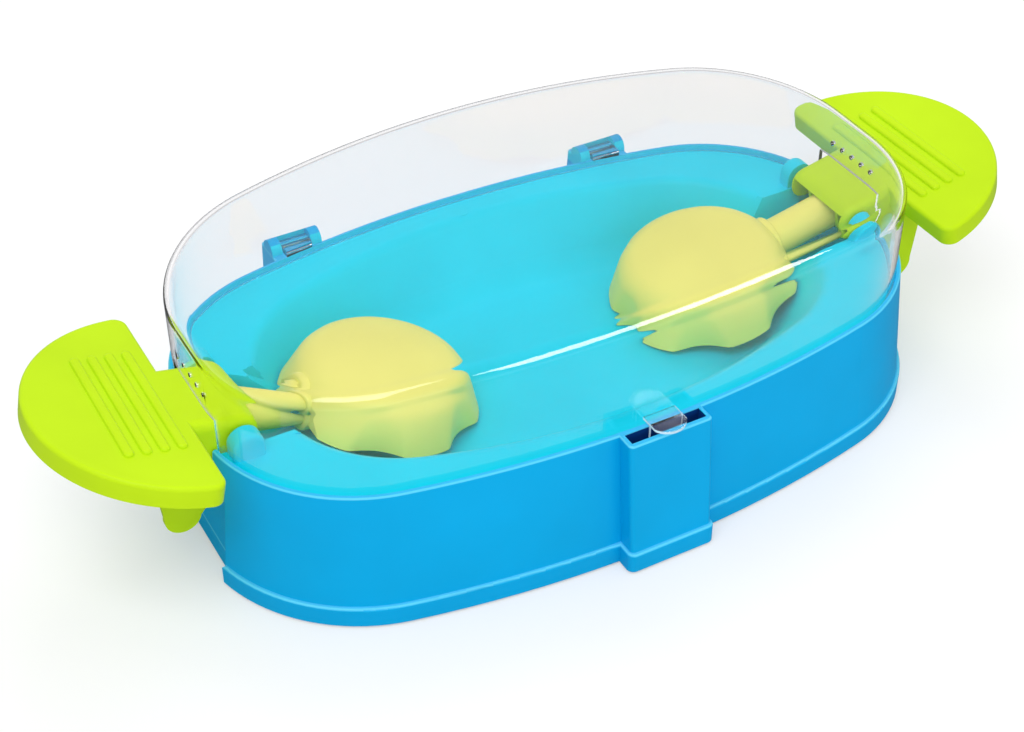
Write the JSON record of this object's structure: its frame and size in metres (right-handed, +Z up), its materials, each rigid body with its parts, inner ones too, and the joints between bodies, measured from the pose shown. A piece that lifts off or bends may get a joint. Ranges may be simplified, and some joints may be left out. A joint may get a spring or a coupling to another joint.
{
  "type": "dog puzzle toy",
  "caption": "Oval dog puzzle: a hinged clear cover over a dished treat tray, with a seesaw lever at each end whose outside paddle lifts a scalloped paw inside off the treats.",
  "frame": {"origin": "on the floor under the middle of the toy", "axes": "+X along the toy towards one paddle, -Y towards the front latch, +Z up"},
  "size_m": [0.4184, 0.195, 0.1059],
  "materials": {
    "base_blue": "satin moulded",
    "tray_cyan": "satin moulded",
    "cover_clear": "clear polished",
    "paddle_lime": "satin moulded",
    "paw_yellow": "satin moulded",
    "steel": "plain zinc plated",
    "foot_rubber": "matt"
  },
  "bodies": {
    "base": {"base_shell": "base_blue", "treat_tray": "tray_cyan", "bottom_plate": "base_blue", "rubber_feet": "foot_rubber", "bottom_screws": "steel", "bearing_screws": "steel", "hinge_pin_left": "base_blue", "hinge_pin_right": "base_blue", "left_front_bearing": "tray_cyan", "left_back_bearing": "tray_cyan", "right_front_bearing": "tray_cyan", "right_back_bearing": "tray_cyan"},
    "cover": {"clear_cover": "cover_clear"},
    "left_lever": {"left_paddle": "paddle_lime", "left_paw_arm": "paw_yellow", "left_paw": "paw_yellow", "left_paw_sole": "paw_yellow", "left_pivot_pin": "steel", "left_arm_screw": "steel", "left_sole_screws": "steel"},
    "right_lever": {"right_paddle": "paddle_lime", "right_paw_arm": "paw_yellow", "right_paw": "paw_yellow", "right_paw_sole": "paw_yellow", "right_pivot_pin": "steel", "right_arm_screw": "steel", "right_sole_screws": "steel"}
  },
  "joints": [
    {"name": "cover_hinge", "type": "hinge", "parent": "base", "child": "cover", "pos_m": [0, 0.0831, 0.0593], "axis": [-1, 0, 0], "range_deg": [0, 90]},
    {"name": "left_press", "type": "hinge", "parent": "base", "child": "left_lever", "pos_m": [-0.137, 0, 0.0605], "axis": [0, -1, 0], "range_deg": [0, 10]},
    {"name": "right_press", "type": "hinge", "parent": "base", "child": "right_lever", "pos_m": [0.137, 0, 0.0605], "axis": [0, 1, 0], "range_deg": [0, 10]}
  ]
}
